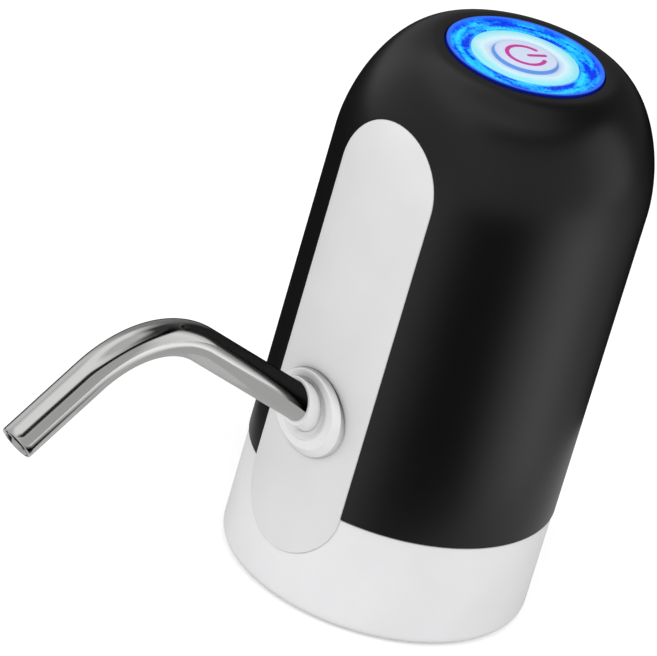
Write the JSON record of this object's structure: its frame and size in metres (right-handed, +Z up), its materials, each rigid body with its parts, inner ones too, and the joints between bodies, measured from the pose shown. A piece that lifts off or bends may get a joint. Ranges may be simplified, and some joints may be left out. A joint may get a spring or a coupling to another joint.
{
  "type": "bottled water pump",
  "caption": "Rechargeable pump head for a large water bottle: domed black body, white collar, bent steel spout and a lit push button.",
  "frame": {"origin": "middle of the part's own box, on the plane of the base rim that the part stands on", "axes": "+Z up along the body's axis, -Y forwards along the spout, +X to the right seen from behind the spout's tip"},
  "size_m": [0.075, 0.171, 0.1375],
  "materials": {
    "black_shell": "satin black ABS",
    "white_base": "smooth white ABS",
    "panel_grey": "smooth off-white ABS",
    "grommet_white": "soft satin",
    "spout_steel": "polished stainless steel",
    "inner_plastic": "as moulded",
    "pump_plastic": "as moulded",
    "gear_plastic": "as moulded acetal",
    "dark_rubber": "matt nitrile",
    "white_silicone": "soft silicone",
    "clear_silicone": "clear silicone",
    "plain_steel": "zinc plated",
    "nickel_strip": "nickel plated",
    "magnet_grey": "sintered ferrite",
    "armature_copper": "enamelled copper and steel",
    "cell_sleeve": "shrink sleeve",
    "board_green": "solder mask",
    "black_plastic": "as moulded",
    "led_lens": "clear lens",
    "light_blue": "clear ring lit blue from below",
    "button_ice": "milky cap lit from below",
    "wire_red": "vinyl",
    "wire_black": "vinyl",
    "wire_blue": "vinyl"
  },
  "bodies": {
    "housing": {"upper_shell": "black_shell", "base_collar": "white_base", "front_panel": "panel_grey", "spout_flange": "grommet_white", "spout_socket": "inner_plastic", "socket_o_ring_1": "dark_rubber", "socket_o_ring_2": "dark_rubber", "delivery_hose": "clear_silicone", "inlet_nipple": "white_base", "inlet_o_ring": "dark_rubber", "neck_seal": "white_silicone", "inner_frame": "inner_plastic", "base_screw_1": "plain_steel", "base_screw_2": "plain_steel", "base_screw_3": "plain_steel", "base_screw_4": "plain_steel", "pump_body": "pump_plastic", "pump_cover": "pump_plastic", "pump_gasket": "dark_rubber", "idler_pin": "plain_steel", "shaft_seal": "dark_rubber", "pump_screw_left": "plain_steel", "pump_screw_right": "plain_steel", "motor_can": "plain_steel", "motor_end_cap": "black_plastic", "magnet_left": "magnet_grey", "magnet_right": "magnet_grey", "battery_cell": "cell_sleeve", "battery_tab_bottom": "nickel_strip", "battery_tab_top": "nickel_strip", "main_board": "board_green", "charge_chip": "black_plastic", "power_coil": "black_plastic", "usb_socket": "plain_steel", "usb_tongue": "black_plastic", "light_ring": "light_blue", "push_switch": "black_plastic", "light_board": "board_green", "board_holder": "inner_plastic", "holder_screw_left": "plain_steel", "holder_screw_right": "plain_steel", "led_1": "led_lens", "led_2": "led_lens", "led_3": "led_lens", "led_4": "led_lens", "led_5": "led_lens", "led_6": "led_lens", "motor_lead_red": "wire_red", "motor_lead_black": "wire_black", "battery_lead_red": "wire_red", "battery_lead_black": "wire_black", "button_lead": "wire_blue"},
    "button": {"button_cap": "button_ice", "switch_plunger": "black_plastic"},
    "collar": {"spout_collar": "grommet_white"},
    "spout": {"spout_tube": "spout_steel"},
    "rotor": {"motor_shaft": "plain_steel", "motor_armature": "armature_copper", "drive_gear": "gear_plastic"},
    "idler": {"idler_gear": "gear_plastic"}
  },
  "joints": [
    {"name": "button_press", "type": "slide", "parent": "housing", "child": "button", "axis": [0, 0, -1], "range_m": [0, 0.0008], "stiffness_N_per_m": 1500, "springref_m": -0.0004},
    {"name": "spout_swivel", "type": "hinge", "parent": "housing", "child": "collar", "pos_m": [0, 0.01046, 0.0489], "axis": [0, -0.8634, 0.5045], "continuous": true},
    {"name": "spout_pull", "type": "slide", "parent": "collar", "child": "spout", "axis": [0, -0.8634, 0.5045], "range_m": [0, 0.012]},
    {"name": "motor_spin", "type": "hinge", "parent": "housing", "child": "rotor", "pos_m": [-0.005, 0.04246, 0.05], "axis": [0, 0, 1], "continuous": true},
    {"name": "idler_spin", "type": "hinge", "parent": "housing", "child": "idler", "pos_m": [0.005, 0.04246, 0.05], "axis": [0, 0, 1], "continuous": true}
  ],
  "couplings": [
    {"joint": "idler_spin", "follows": "motor_spin", "ratio": -1}
  ]
}
